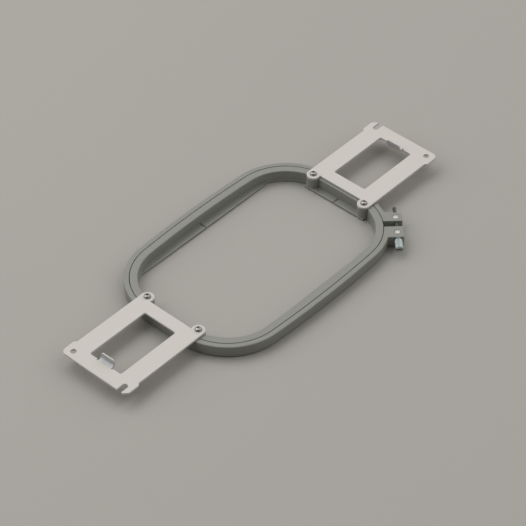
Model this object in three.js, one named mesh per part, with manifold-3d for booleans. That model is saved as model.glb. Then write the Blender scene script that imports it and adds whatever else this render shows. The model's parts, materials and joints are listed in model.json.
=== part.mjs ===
// Two-ring machine embroidery hoop with a pair of machine brackets and a corner clamp.
// Millimetres, +Z up. The origin is the centre of the sewing field, on the plane the inner ring lies on.
// +X runs along the long side to the right bracket, the clamp sits at the +X, -Y corner.

import * as THREE from 'three';
import { mergeVertices } from 'three/addons/utils/BufferGeometryUtils.js';
import Module from 'manifold-3d';

const wasm = await Module();
wasm.setup();

// Plan of the parting line: the outer wall of the inner ring, four bowed sides and round corners.
const RING_HALF_LENGTH = 106.7;
const RING_HALF_WIDTH = 70.9;
const CORNER_RADIUS = 48.5;
const SIDE_BOW_RADIUS = 1050;
const END_BOW_RADIUS = 1050;

// Ring sections.
const INNER_HEIGHT = 11.2;
const INNER_WALL = 6.4;
const OUTER_HEIGHT = 10;
const OUTER_WALL = 4.3;
const CLOTH_GAP = 0.6;
const RIM_ROUND = 0.9;
const FOOT_BREAK = 0.4;

// Field flange at the foot of the inner ring, with straight inner edges, and its centre marks.
const FLANGE_SIDE_REACH = 6.7;
const FLANGE_END_REACH = 6.3;
const FLANGE_CORNER_REACH = 0.6;
const FLANGE_EDGE = 2;
const FLANGE_RISE = 0.4;
const FLANGE_SWEEP = 2.4;
const MARK_WIDTH = 1.5;
const MARK_DEPTH = 0.9;

// Screws that hold the brackets, and the bosses that they run into.
const SCREW_PITCH = 55.4;
const SCREW_INSET = 6.7;
const SCREW_RADIUS = 1.5;
const SCREW_LENGTH = 9;
const SCREW_HEAD_RADIUS = 2.8;
const SCREW_HEAD_HEIGHT = 2;
const SCREW_HEAD_SIDE = 0.9;
const SCREW_CROWN_RADIUS = 1.85;
const RECESS_WIDTH = 0.8;
const RECESS_SPAN = 3;
const RECESS_DEPTH = 1.1;
const BOSS_RADIUS = 5.7;
const PILOT_CLEARANCE = 0.12;
const PILOT_RUNOUT = 0.8;

// Bracket plate. Lengths along X are counted outward from the end of the parting line.
const PLATE_THICKNESS = 2;
const PLATE_BREAK = 0.25;
const PLATE_INNER_EDGE = -4.4;
const PLATE_LENGTH = 81.5;
const EAR_MARGIN = 5.7;
const WINDOW_START = 7.3;
const WINDOW_LENGTH = 60.7;
const WINDOW_WIDTH = 33.3;
const WINDOW_ROUND = 1.6;
const WING_LENGTH = 14.2;
const WING_STEP = 1.9;
const WING_RAMP = 1.8;
const PLATE_ROUND = 5;
const LOCATOR_PITCH = 55.6;
const LOCATOR_RADIUS = 2.4;
const LOCATOR_INSET = 6.6;
const FINGER_CHAMFER = 3.4;
const SCREW_HOLE_CLEARANCE = 0.3;

// Tongue: a strip of the plate, bent up from the outer rail between two relief cuts.
const TONGUE_WIDTH = 14;
const TONGUE_RISE = 5.5;
const TONGUE_BEND = 2.25;
const TONGUE_ROUND = 2.2;
const TONGUE_ROOT = 0.4;
const RELIEF_WIDTH = 1.2;
const RELIEF_DEPTH = 1;

// Corner clamp: its place on the corner arc and the bearing of its screw, in degrees from +X.
// Its own X runs along the screw, from the head to the tip, and its Y points at the ring.
const CLAMP_PLACE = -44.94;
const CLAMP_BEARING = 44.5;
const CLAMP_REACH = 6.3;
const SPLIT_WIDTH = 6.4;
const SPLIT_SHIFT = 0.9;
const BARREL_PITCH = 18.2;
const BARREL_RADIUS = 2.5;
const BARREL_FLOOR = 1.2;
const BARREL_CLEARANCE = 0.1;
const EAR_TIP_MARGIN = 5.1;
const EAR_SKIN = 0.45;
const NEAR_EAR_LENGTH = 12.3;
const NEAR_EAR_ROUND = 1.6;
const FAR_EAR_LENGTH = 12.8;
const FAR_EAR_TAPER = 2.4;
const FAR_EAR_ROUND = 2.8;
const CLAMP_AXIS_HEIGHT = 6.6;
const CLAMP_THREAD_RADIUS = 1.5;
const CLAMP_THREAD_CLEARANCE = 0.1;
const CLAMP_EAR_CLEARANCE = 0.5;
const CLAMP_TIP_REACH = 9.2;
const TIP_CHAMFER = 0.6;
const HEAD_RADIUS = 3.35;
const HEAD_LENGTH = 11;
const HEAD_CHAMFER = 0.7;
const FLUTES = 20;
const FLUTE_DEPTH = 0.3;
const HEAD_SLOT_WIDTH = 1.1;
const HEAD_SLOT_DEPTH = 1.8;
const WASHER_RADIUS = 3.3;
const WASHER_THICKNESS = 0.5;

// Gap under a seated piece, and how far a cutter runs past the face that it opens.
const SEAT_GAP = 0.1;
const OVERRUN = 1;

// Facets: steps around the rings, over a rim, up the flange, and on round pieces.
const CORNER_STEPS = 14;
const SIDE_STEPS = 3;
const END_STEPS = 2;
const RIM_STEPS = 3;
const FLANGE_STEPS = 4;
const ROUND_SEGMENTS = 24;
const ARC_SEGMENTS = 6;

const PLATE_BOTTOM = INNER_HEIGHT + SEAT_GAP;
const PLATE_TOP = PLATE_BOTTOM + PLATE_THICKNESS;
const OUTER_FACE_OFFSET = CLOTH_GAP + OUTER_WALL;
const PLAIN_EXTRUDE = { bevelEnabled: false, curveSegments: ARC_SEGMENTS };

// Materials.
const ringPlastic = { color: 0x8f918a, roughness: 0.55, metalness: 0 };
const whitePaint = { color: 0xcfcbc3, roughness: 0.5, metalness: 0.1 };
const zincSteel = { color: 0xb9bfc2, roughness: 0.3, metalness: 0.9 };

// Solid from a closed geometry, and the way back.
function solid(geometry) {
  const bare = geometry.clone();
  bare.deleteAttribute('normal');
  bare.deleteAttribute('uv');
  const merged = mergeVertices(bare, 1e-4);
  const vertProperties = new Float32Array(merged.attributes.position.array);
  const triVerts = new Uint32Array(merged.index.array);
  return new wasm.Manifold(new wasm.Mesh({ numProp: 3, vertProperties, triVerts }));
}

function geometryOf(manifold) {
  const mesh = manifold.getMesh();
  const geometry = new THREE.BufferGeometry();
  geometry.setAttribute('position', new THREE.BufferAttribute(new Float32Array(mesh.vertProperties), 3));
  geometry.setIndex(new THREE.BufferAttribute(new Uint32Array(mesh.triVerts), 1));
  geometry.computeVertexNormals();
  return geometry;
}

function piece(name, shape, finish) {
  const geometry = shape.isBufferGeometry ? shape : geometryOf(shape);
  const mesh = new THREE.Mesh(geometry, new THREE.MeshStandardMaterial(finish));
  mesh.name = name;
  return mesh;
}

// Primitive solids, placed in the frame that they are used in.
function upright(radius, bottom, top, x = 0, y = 0) {
  const geometry = new THREE.CylinderGeometry(radius, radius, top - bottom, ROUND_SEGMENTS);
  geometry.rotateX(Math.PI / 2);
  geometry.translate(x, y, (top + bottom) / 2);
  return solid(geometry);
}

function lying(radius, start, end, height) {
  const geometry = new THREE.CylinderGeometry(radius, radius, end - start, ROUND_SEGMENTS);
  geometry.rotateZ(Math.PI / 2);
  geometry.translate((start + end) / 2, 0, height);
  return solid(geometry);
}

function block(x0, x1, y0, y1, z0, z1) {
  const geometry = new THREE.BoxGeometry(x1 - x0, y1 - y0, z1 - z0);
  geometry.translate((x0 + x1) / 2, (y0 + y1) / 2, (z0 + z1) / 2);
  return solid(geometry);
}

function slab(shape, bottom, top, edge) {
  const geometry = new THREE.ExtrudeGeometry(shape, {
    depth: top - bottom - 2 * edge,
    bevelThickness: edge,
    bevelSize: edge,
    bevelOffset: -edge,
    bevelSegments: 1,
    curveSegments: ARC_SEGMENTS,
  });
  geometry.translate(0, 0, bottom + edge);
  return solid(geometry);
}

function turned(profile, segments = ROUND_SEGMENTS) {
  return new THREE.LatheGeometry(profile.map(([r, h]) => new THREE.Vector2(r, h)), segments);
}

// Closed polygon with each corner rounded by its own radius: [x, y, radius].
function roundedOutline(corners, Target = THREE.Shape) {
  const path = new Target();
  corners.forEach(([x, y, radius], i) => {
    const before = corners[(i + corners.length - 1) % corners.length];
    const after = corners[(i + 1) % corners.length];
    const here = new THREE.Vector2(x, y);
    const back = new THREE.Vector2(before[0], before[1]).sub(here).normalize();
    const ahead = new THREE.Vector2(after[0], after[1]).sub(here).normalize();
    const half = Math.acos(THREE.MathUtils.clamp(back.dot(ahead), -1, 1)) / 2;
    const reach = radius / Math.tan(half);
    const enter = here.clone().addScaledVector(back, reach);
    const leave = here.clone().addScaledVector(ahead, reach);
    const place = i === 0 ? 'moveTo' : 'lineTo';
    path[place](enter.x, enter.y);
    if (radius > 0) {
      const middle = back.clone().add(ahead).normalize();
      const centre = here.clone().addScaledVector(middle, radius / Math.sin(half));
      const from = enter.clone().sub(centre).angle();
      const to = leave.clone().sub(centre).angle();
      const turnsLeft = back.cross(ahead) < 0;
      path.absarc(centre.x, centre.y, radius, from, to, !turnsLeft);
    }
  });
  path.closePath();
  return path;
}

// The parting line as stations on tangent arcs. Every ring wall is an offset of it.
function cornerCentre() {
  const sideCentreY = RING_HALF_WIDTH - SIDE_BOW_RADIUS;
  const endCentreX = RING_HALF_LENGTH - END_BOW_RADIUS;
  const side = new THREE.Vector2(0, sideCentreY);
  const toEnd = new THREE.Vector2(endCentreX, 0).sub(side);
  const span = toEnd.length();
  const sideReach = SIDE_BOW_RADIUS - CORNER_RADIUS;
  const endReach = END_BOW_RADIUS - CORNER_RADIUS;
  const along = (sideReach ** 2 - endReach ** 2 + span ** 2) / (2 * span);
  const across = Math.sqrt(sideReach ** 2 - along ** 2);
  const unit = toEnd.normalize();
  const outward = new THREE.Vector2(unit.y, -unit.x);
  return side.addScaledVector(unit, along).addScaledVector(outward, across);
}

function quarterStations() {
  const corner = cornerCentre();
  const side = new THREE.Vector2(0, RING_HALF_WIDTH - SIDE_BOW_RADIUS);
  const end = new THREE.Vector2(RING_HALF_LENGTH - END_BOW_RADIUS, 0);
  const endAngle = corner.clone().sub(end).angle();
  const sideAngle = corner.clone().sub(side).angle();
  const arcs = [
    { centre: end, radius: END_BOW_RADIUS, from: 0, to: endAngle, steps: END_STEPS },
    { centre: corner, radius: CORNER_RADIUS, from: endAngle, to: sideAngle, steps: CORNER_STEPS },
    { centre: side, radius: SIDE_BOW_RADIUS, from: sideAngle, to: Math.PI / 2, steps: SIDE_STEPS },
  ];
  const stations = [];
  for (const { centre, radius, from, to, steps } of arcs) {
    for (let k = 0; k < steps; k += 1) {
      const angle = THREE.MathUtils.lerp(from, to, k / steps);
      stations.push({ x: centre.x, y: centre.y, radius, angle });
    }
  }
  const last = arcs[2];
  stations.push({ x: last.centre.x, y: last.centre.y, radius: last.radius, angle: last.to });
  return stations;
}

function ringStations() {
  const quarter = quarterStations();
  const mirrored = quarter.map((s) => ({ ...s, x: -s.x, angle: Math.PI - s.angle })).reverse();
  const upper = [...quarter, ...mirrored.slice(1)];
  const lower = upper.map((s) => ({ ...s, x: -s.x, y: -s.y, angle: s.angle + Math.PI }));
  return [...upper.slice(0, -1), ...lower.slice(0, -1)];
}

const STATIONS = ringStations();

function onStation({ x, y, radius, angle }, offset) {
  const reach = radius + offset;
  return new THREE.Vector2(x + reach * Math.cos(angle), y + reach * Math.sin(angle));
}

// Loft of a section around the stations. The section is a loop of [offset, height] pairs.
function loftedRing(sectionAt) {
  const positions = [];
  const index = [];
  const rows = STATIONS.map((station) => sectionAt(station));
  const width = rows[0].length;
  rows.forEach((row, i) => {
    for (const [offset, height] of row) {
      const point = onStation(STATIONS[i], offset);
      positions.push(point.x, point.y, height);
    }
  });
  for (let i = 0; i < rows.length; i += 1) {
    const next = (i + 1) % rows.length;
    for (let j = 0; j < width; j += 1) {
      const up = (j + 1) % width;
      const a = i * width + j;
      const b = next * width + j;
      const c = next * width + up;
      const d = i * width + up;
      index.push(a, b, c, a, c, d);
    }
  }
  const geometry = new THREE.BufferGeometry();
  geometry.setAttribute('position', new THREE.BufferAttribute(new Float32Array(positions), 3));
  geometry.setIndex(index);
  return solid(geometry);
}

// Cosines and sines of a quarter turn, from the wall side to the top.
const QUARTER_TURN = Array.from({ length: RIM_STEPS + 1 }, (_, k) => {
  const turn = (k / RIM_STEPS) * (Math.PI / 2);
  return [Math.cos(turn), Math.sin(turn)];
});

function rim(centreOffset, height, direction) {
  return QUARTER_TURN.map(([across, up]) => [
    centreOffset + direction * RIM_ROUND * across,
    height - RIM_ROUND + RIM_ROUND * up,
  ]);
}

// Inner ring: its flange reaches from the wall to a straight chord on each side.
// It dies away in the corners, where the wall's normal leans too little towards a chord.
const LEAST_LEAN = 0.3;
const INNER_FACE = -INNER_WALL;
const CHORD_Y = RING_HALF_WIDTH - INNER_WALL - FLANGE_SIDE_REACH;
const CHORD_X = RING_HALF_LENGTH - INNER_WALL - FLANGE_END_REACH;
const SCREW_X = RING_HALF_LENGTH - SCREW_INSET;
const SCREW_Y = SCREW_PITCH / 2;
const END_FLANGE_HALF = SCREW_Y + BOSS_RADIUS;

function flangeReach(station) {
  const wall = onStation(station, INNER_FACE);
  const normalX = Math.abs(Math.cos(station.angle));
  const normalY = Math.abs(Math.sin(station.angle));
  const toSideChord = normalY > LEAST_LEAN ? (Math.abs(wall.y) - CHORD_Y) / normalY : 0;
  const onEnd = normalX > LEAST_LEAN && Math.abs(wall.y) < END_FLANGE_HALF;
  const toEndChord = onEnd ? (Math.abs(wall.x) - CHORD_X) / normalX : 0;
  return Math.max(FLANGE_CORNER_REACH, toSideChord, toEndChord);
}

function innerSection(station) {
  const reach = flangeReach(station);
  const edge = INNER_FACE - reach;
  const rise = Math.min(FLANGE_RISE, reach);
  const slope = [];
  for (let k = FLANGE_STEPS; k >= 0; k -= 1) {
    const share = k / FLANGE_STEPS;
    slope.push([edge + reach * share, FLANGE_EDGE + rise * share ** FLANGE_SWEEP]);
  }
  return [
    [edge + FOOT_BREAK, 0],
    [-FOOT_BREAK, 0],
    [0, FOOT_BREAK],
    ...rim(-RIM_ROUND, INNER_HEIGHT, 1),
    ...rim(INNER_FACE + RIM_ROUND, INNER_HEIGHT, -1).reverse(),
    ...slope,
    [edge, FOOT_BREAK],
  ];
}

// Groove across the flange that marks the middle of one side, at a heading from the field's centre.
function centreMark(heading, chord, reach) {
  const groove = new THREE.Shape();
  groove.moveTo(-MARK_WIDTH / 2, FLANGE_EDGE);
  groove.lineTo(0, FLANGE_EDGE - MARK_DEPTH);
  groove.lineTo(MARK_WIDTH / 2, FLANGE_EDGE);
  groove.lineTo(MARK_WIDTH / 2, INNER_HEIGHT / 2);
  groove.lineTo(-MARK_WIDTH / 2, INNER_HEIGHT / 2);
  groove.closePath();
  const geometry = new THREE.ExtrudeGeometry(groove, { ...PLAIN_EXTRUDE, depth: reach + FLANGE_EDGE });
  geometry.rotateX(Math.PI / 2);
  geometry.translate(0, chord + reach, 0);
  geometry.rotateZ(heading - Math.PI / 2);
  return solid(geometry);
}

function innerRing() {
  let ring = loftedRing(innerSection);
  const boss = turned([
    [0, 0],
    [BOSS_RADIUS - FOOT_BREAK, 0],
    [BOSS_RADIUS, FOOT_BREAK],
    [BOSS_RADIUS, INNER_HEIGHT - FOOT_BREAK],
    [BOSS_RADIUS - FOOT_BREAK, INNER_HEIGHT],
    [0, INNER_HEIGHT],
  ]);
  boss.rotateX(Math.PI / 2);
  const pilot = SCREW_RADIUS + PILOT_CLEARANCE;
  const pilotFloor = PLATE_TOP - SCREW_LENGTH - PILOT_RUNOUT;
  for (const x of [-SCREW_X, SCREW_X]) {
    for (const y of [-SCREW_Y, SCREW_Y]) {
      ring = ring.add(solid(boss.clone().translate(x, y, 0)));
      ring = ring.subtract(upright(pilot, pilotFloor, INNER_HEIGHT + OVERRUN, x, y));
    }
  }
  for (const side of [0, 1]) {
    ring = ring.subtract(centreMark(side * Math.PI, CHORD_X, FLANGE_END_REACH));
    ring = ring.subtract(centreMark((side + 0.5) * Math.PI, CHORD_Y, FLANGE_SIDE_REACH));
  }
  return ring;
}

// Outer ring: a plain section, split at the clamp, with two ears bored for the barrels and the screw.
function outerSection() {
  const face = OUTER_FACE_OFFSET;
  return [
    [CLOTH_GAP + FOOT_BREAK, 0],
    [face - FOOT_BREAK, 0],
    [face, FOOT_BREAK],
    ...rim(face - RIM_ROUND, OUTER_HEIGHT, 1),
    ...rim(CLOTH_GAP + RIM_ROUND, OUTER_HEIGHT, -1).reverse(),
    [CLOTH_GAP, FOOT_BREAK],
  ];
}

const CLAMP_TURN = THREE.MathUtils.degToRad(CLAMP_PLACE);
const CLAMP_ORIGIN = new THREE.Vector2(1, -1)
  .multiply(cornerCentre())
  .addScaledVector(
    new THREE.Vector2(Math.cos(CLAMP_TURN), Math.sin(CLAMP_TURN)),
    CORNER_RADIUS + OUTER_FACE_OFFSET + CLAMP_REACH,
  );
const CLAMP_PLACING = new THREE.Matrix4()
  .makeRotationZ(THREE.MathUtils.degToRad(CLAMP_BEARING))
  .setPosition(CLAMP_ORIGIN.x, CLAMP_ORIGIN.y, 0);
const EAR_ROOT = CLAMP_REACH + OUTER_WALL - EAR_SKIN;
const NEAR_FACE = -SPLIT_WIDTH / 2 - NEAR_EAR_LENGTH;
const FAR_FACE = SPLIT_WIDTH / 2 + FAR_EAR_LENGTH;

function atClamp(shape) {
  return solid(geometryOf(shape).applyMatrix4(CLAMP_PLACING));
}

function outerRing() {
  const nearEar = roundedOutline([
    [NEAR_FACE, EAR_ROOT, 0],
    [NEAR_FACE, -EAR_TIP_MARGIN, NEAR_EAR_ROUND],
    [0, -EAR_TIP_MARGIN, 0],
    [0, EAR_ROOT, 0],
  ]);
  const farEar = roundedOutline([
    [0, EAR_ROOT, 0],
    [0, -EAR_TIP_MARGIN, 0],
    [FAR_FACE - FAR_EAR_TAPER, -EAR_TIP_MARGIN, FAR_EAR_ROUND],
    [FAR_FACE, EAR_ROOT, 0],
  ]);
  const ears = slab(nearEar, 0, OUTER_HEIGHT, FOOT_BREAK).add(slab(farEar, 0, OUTER_HEIGHT, FOOT_BREAK));
  const past = OUTER_HEIGHT + OVERRUN;
  const splitTip = -EAR_TIP_MARGIN - OVERRUN;
  const splitRoot = CLAMP_REACH + OUTER_WALL + OVERRUN;
  const screwWay = CLAMP_THREAD_RADIUS + CLAMP_EAR_CLEARANCE;
  const splitStart = SPLIT_SHIFT - SPLIT_WIDTH / 2;
  let cuts = block(splitStart, splitStart + SPLIT_WIDTH, splitTip, splitRoot, -OVERRUN, past);
  cuts = cuts.add(lying(screwWay, NEAR_FACE - OVERRUN, FAR_FACE + OVERRUN, CLAMP_AXIS_HEIGHT));
  for (const x of [-BARREL_PITCH / 2, BARREL_PITCH / 2]) {
    cuts = cuts.add(upright(BARREL_RADIUS + BARREL_CLEARANCE, BARREL_FLOOR, past, x));
  }
  return loftedRing(outerSection).add(atClamp(ears)).subtract(atClamp(cuts));
}

// Clamp hardware in the clamp's own frame.
const THREAD_BORE = CLAMP_THREAD_RADIUS + CLAMP_THREAD_CLEARANCE;

function barrel(x) {
  const bottom = BARREL_FLOOR + SEAT_GAP;
  const body = turned([
    [0, bottom],
    [BARREL_RADIUS - FOOT_BREAK, bottom],
    [BARREL_RADIUS, bottom + FOOT_BREAK],
    [BARREL_RADIUS, OUTER_HEIGHT - FOOT_BREAK],
    [BARREL_RADIUS - FOOT_BREAK, OUTER_HEIGHT],
    [0, OUTER_HEIGHT],
  ]);
  body.rotateX(Math.PI / 2);
  body.translate(x, 0, 0);
  const reach = BARREL_RADIUS + OVERRUN;
  return solid(body).subtract(lying(THREAD_BORE, x - reach, x + reach, CLAMP_AXIS_HEIGHT));
}

function alongScrew(geometry) {
  geometry.rotateZ(-Math.PI / 2);
  geometry.translate(0, 0, CLAMP_AXIS_HEIGHT);
  return solid(geometry);
}

const WASHER_START = NEAR_FACE - SEAT_GAP - WASHER_THICKNESS;
const HEAD_INNER = WASHER_START - SEAT_GAP;
const HEAD_END = HEAD_INNER - HEAD_LENGTH;
const TIP_END = FAR_FACE + CLAMP_TIP_REACH;

function clampWasher() {
  const end = WASHER_START + WASHER_THICKNESS;
  const disc = lying(WASHER_RADIUS, WASHER_START, end, CLAMP_AXIS_HEIGHT);
  return disc.subtract(lying(THREAD_BORE, WASHER_START - OVERRUN, end + OVERRUN, CLAMP_AXIS_HEIGHT));
}

// Thumb screw: a turned blank, a fluted grip over the head and a driver slot across its end.
function clampScrew() {
  const blank = alongScrew(turned([
    [0, HEAD_END],
    [HEAD_RADIUS - HEAD_CHAMFER, HEAD_END],
    [HEAD_RADIUS, HEAD_END + HEAD_CHAMFER],
    [HEAD_RADIUS, HEAD_INNER - HEAD_CHAMFER],
    [HEAD_RADIUS - HEAD_CHAMFER, HEAD_INNER],
    [CLAMP_THREAD_RADIUS, HEAD_INNER],
    [CLAMP_THREAD_RADIUS, TIP_END - TIP_CHAMFER],
    [CLAMP_THREAD_RADIUS - TIP_CHAMFER, TIP_END],
    [0, TIP_END],
  ], 2 * FLUTES));
  const grip = new THREE.Shape();
  for (let k = 0; k < 2 * FLUTES; k += 1) {
    const angle = (k * Math.PI) / FLUTES;
    const radius = k % 2 ? HEAD_RADIUS - FLUTE_DEPTH : HEAD_RADIUS + FLUTE_DEPTH;
    grip[k ? 'lineTo' : 'moveTo'](radius * Math.cos(angle), radius * Math.sin(angle));
  }
  grip.closePath();
  const length = TIP_END - HEAD_END + 2 * OVERRUN;
  const flutes = new THREE.ExtrudeGeometry(grip, { ...PLAIN_EXTRUDE, depth: length });
  flutes.rotateY(Math.PI / 2);
  flutes.translate(HEAD_END - OVERRUN, 0, CLAMP_AXIS_HEIGHT);
  const slot = block(
    HEAD_END - OVERRUN,
    HEAD_END + HEAD_SLOT_DEPTH,
    -HEAD_RADIUS - OVERRUN,
    HEAD_RADIUS + OVERRUN,
    CLAMP_AXIS_HEIGHT - HEAD_SLOT_WIDTH / 2,
    CLAMP_AXIS_HEIGHT + HEAD_SLOT_WIDTH / 2,
  );
  return blank.intersect(solid(flutes)).subtract(slot);
}

// Bracket in its own frame: X counts outward from the end of the parting line, the slot is on +Y.
const SCREW_LINE = -SCREW_INSET;
const PLATE_HALF = SCREW_Y + EAR_MARGIN;
const WING_HALF = PLATE_HALF + WING_STEP;
const WING_START = PLATE_LENGTH - WING_LENGTH;
const LOCATOR_Y = LOCATOR_PITCH / 2;
const LOCATOR_X = PLATE_LENGTH - LOCATOR_INSET;
const WINDOW_END = WINDOW_START + WINDOW_LENGTH;

function bracketOutline() {
  const neck = Math.sqrt(EAR_MARGIN ** 2 - (PLATE_INNER_EDGE - SCREW_LINE) ** 2);
  const earTurn = Math.atan2(-neck, PLATE_INNER_EDGE - SCREW_LINE);
  const slotTop = LOCATOR_Y + LOCATOR_RADIUS;
  const slotFoot = LOCATOR_Y - LOCATOR_RADIUS;
  const outline = new THREE.Shape();
  outline.moveTo(PLATE_INNER_EDGE, -SCREW_Y + neck);
  outline.absarc(SCREW_LINE, -SCREW_Y, EAR_MARGIN, -earTurn, 1.5 * Math.PI, false);
  outline.lineTo(WING_START - WING_RAMP, -PLATE_HALF);
  outline.lineTo(WING_START, -WING_HALF);
  outline.absarc(PLATE_LENGTH - PLATE_ROUND, PLATE_ROUND - WING_HALF, PLATE_ROUND, -Math.PI / 2, 0);
  outline.lineTo(PLATE_LENGTH, slotFoot);
  outline.absarc(LOCATOR_X, LOCATOR_Y, LOCATOR_RADIUS, -Math.PI / 2, Math.PI / 2, true);
  outline.lineTo(PLATE_LENGTH, slotTop);
  outline.lineTo(PLATE_LENGTH, WING_HALF - FINGER_CHAMFER);
  outline.lineTo(PLATE_LENGTH - FINGER_CHAMFER, WING_HALF);
  outline.lineTo(WING_START, WING_HALF);
  outline.lineTo(WING_START - WING_RAMP, PLATE_HALF);
  outline.absarc(SCREW_LINE, SCREW_Y, EAR_MARGIN, Math.PI / 2, 2 * Math.PI + earTurn, false);
  outline.closePath();
  return outline;
}

// Tongue: the bent section with a root in the rail, cut to a strip with round upper corners.
function tongue() {
  const bendLine = WINDOW_END + TONGUE_ROOT;
  const outerFace = bendLine - TONGUE_BEND;
  const innerFace = outerFace - PLATE_THICKNESS;
  const root = WINDOW_END + RELIEF_DEPTH + PLATE_THICKNESS;
  const crest = PLATE_TOP + TONGUE_RISE;
  const bent = roundedOutline([
    [innerFace, PLATE_BOTTOM, TONGUE_BEND + PLATE_THICKNESS],
    [root, PLATE_BOTTOM, 0],
    [root, PLATE_TOP, 0],
    [outerFace, PLATE_TOP, TONGUE_BEND],
    [outerFace, crest, 0],
    [innerFace, crest, 0],
  ]);
  const half = TONGUE_WIDTH / 2;
  const section = new THREE.ExtrudeGeometry(bent, { ...PLAIN_EXTRUDE, depth: TONGUE_WIDTH });
  section.rotateX(Math.PI / 2);
  section.translate(0, half, 0);
  const strip = roundedOutline([
    [-half, PLATE_BOTTOM - OVERRUN, 0],
    [half, PLATE_BOTTOM - OVERRUN, 0],
    [half, crest, TONGUE_ROUND],
    [-half, crest, TONGUE_ROUND],
  ]);
  const reach = root - innerFace + 2 * OVERRUN;
  const blank = new THREE.ExtrudeGeometry(strip, { ...PLAIN_EXTRUDE, depth: reach });
  blank.rotateX(Math.PI / 2);
  blank.rotateZ(Math.PI / 2);
  blank.translate(innerFace - OVERRUN, 0, 0);
  return solid(section).intersect(solid(blank));
}

function bracketPlate() {
  const outline = bracketOutline();
  const relief = TONGUE_WIDTH / 2 + RELIEF_WIDTH;
  outline.holes.push(roundedOutline([
    [WINDOW_START, -WINDOW_WIDTH / 2, WINDOW_ROUND],
    [WINDOW_END, -WINDOW_WIDTH / 2, WINDOW_ROUND],
    [WINDOW_END, -relief, 0],
    [WINDOW_END + RELIEF_DEPTH, -relief, 0],
    [WINDOW_END + RELIEF_DEPTH, relief, 0],
    [WINDOW_END, relief, 0],
    [WINDOW_END, WINDOW_WIDTH / 2, WINDOW_ROUND],
    [WINDOW_START, WINDOW_WIDTH / 2, WINDOW_ROUND],
  ], THREE.Path));
  const plate = slab(outline, PLATE_BOTTOM, PLATE_TOP, PLATE_BREAK);
  const under = PLATE_BOTTOM - OVERRUN;
  const over = PLATE_TOP + OVERRUN;
  let bores = upright(LOCATOR_RADIUS, under, over, LOCATOR_X, -LOCATOR_Y);
  for (const y of [-SCREW_Y, SCREW_Y]) {
    bores = bores.add(upright(SCREW_RADIUS + SCREW_HOLE_CLEARANCE, under, over, SCREW_LINE, y));
  }
  return plate.add(tongue()).subtract(bores);
}

// Pan-head screw with a cross recess, standing on the plate.
function bracketScrew() {
  const seat = PLATE_TOP + SEAT_GAP;
  const crown = seat + SCREW_HEAD_HEIGHT;
  const tip = PLATE_TOP - SCREW_LENGTH;
  const profile = turned([
    [0, tip],
    [SCREW_RADIUS - TIP_CHAMFER, tip],
    [SCREW_RADIUS, tip + TIP_CHAMFER],
    [SCREW_RADIUS, seat],
    [SCREW_HEAD_RADIUS, seat],
    ...QUARTER_TURN.map(([across, up]) => [
      THREE.MathUtils.lerp(SCREW_CROWN_RADIUS, SCREW_HEAD_RADIUS, across),
      THREE.MathUtils.lerp(seat + SCREW_HEAD_SIDE, crown, up),
    ]),
    [0, crown],
  ]);
  profile.rotateX(Math.PI / 2);
  const span = RECESS_SPAN / 2;
  const slot = RECESS_WIDTH / 2;
  const floor = crown - RECESS_DEPTH;
  const over = crown + OVERRUN;
  const along = block(-span, span, -slot, slot, floor, over);
  const across = block(-slot, slot, -span, span, floor, over);
  return solid(profile).subtract(along.add(across));
}

// Assembly. The outer ring is flush with the top of the inner ring, so it hangs clear of the ground.
const hoop = new THREE.Group();
hoop.add(piece('inner_ring', innerRing(), ringPlastic));
const outer = new THREE.Group();
outer.position.z = INNER_HEIGHT - OUTER_HEIGHT;
outer.add(piece('outer_ring', outerRing(), ringPlastic));
hoop.add(outer);

for (const [side, turn] of [['right', 0], ['left', Math.PI]]) {
  const end = new THREE.Group();
  end.rotation.z = turn;
  const plate = new THREE.Group();
  plate.position.x = RING_HALF_LENGTH;
  plate.add(piece(`bracket_${side}`, bracketPlate(), whitePaint));
  for (const row of [-1, 1]) {
    const facing = row * Math.cos(turn) < 0 ? 'front' : 'rear';
    const screw = piece(`screw_${side}_${facing}`, bracketScrew(), zincSteel);
    screw.position.set(SCREW_LINE, row * SCREW_Y, 0);
    plate.add(screw);
  }
  end.add(plate);
  hoop.add(end);
}

const clamp = new THREE.Group();
clamp.applyMatrix4(CLAMP_PLACING);
clamp.add(piece('barrel_bush', barrel(-BARREL_PITCH / 2), zincSteel));
clamp.add(piece('barrel_nut', barrel(BARREL_PITCH / 2), zincSteel));
clamp.add(piece('clamp_washer', clampWasher(), zincSteel));
clamp.add(piece('clamp_screw', clampScrew(), zincSteel));
outer.add(clamp);

export default hoop;
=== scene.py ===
"""Dress of a two-ring machine embroidery hoop: moulded rings, painted brackets and plated hardware.

Pieces are worked out in millimetres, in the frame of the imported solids, and made in metres.
"""

import json
import math

import bmesh
import bpy
import numpy as np
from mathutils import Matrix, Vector
from mathutils.geometry import delaunay_2d_cdt


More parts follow.
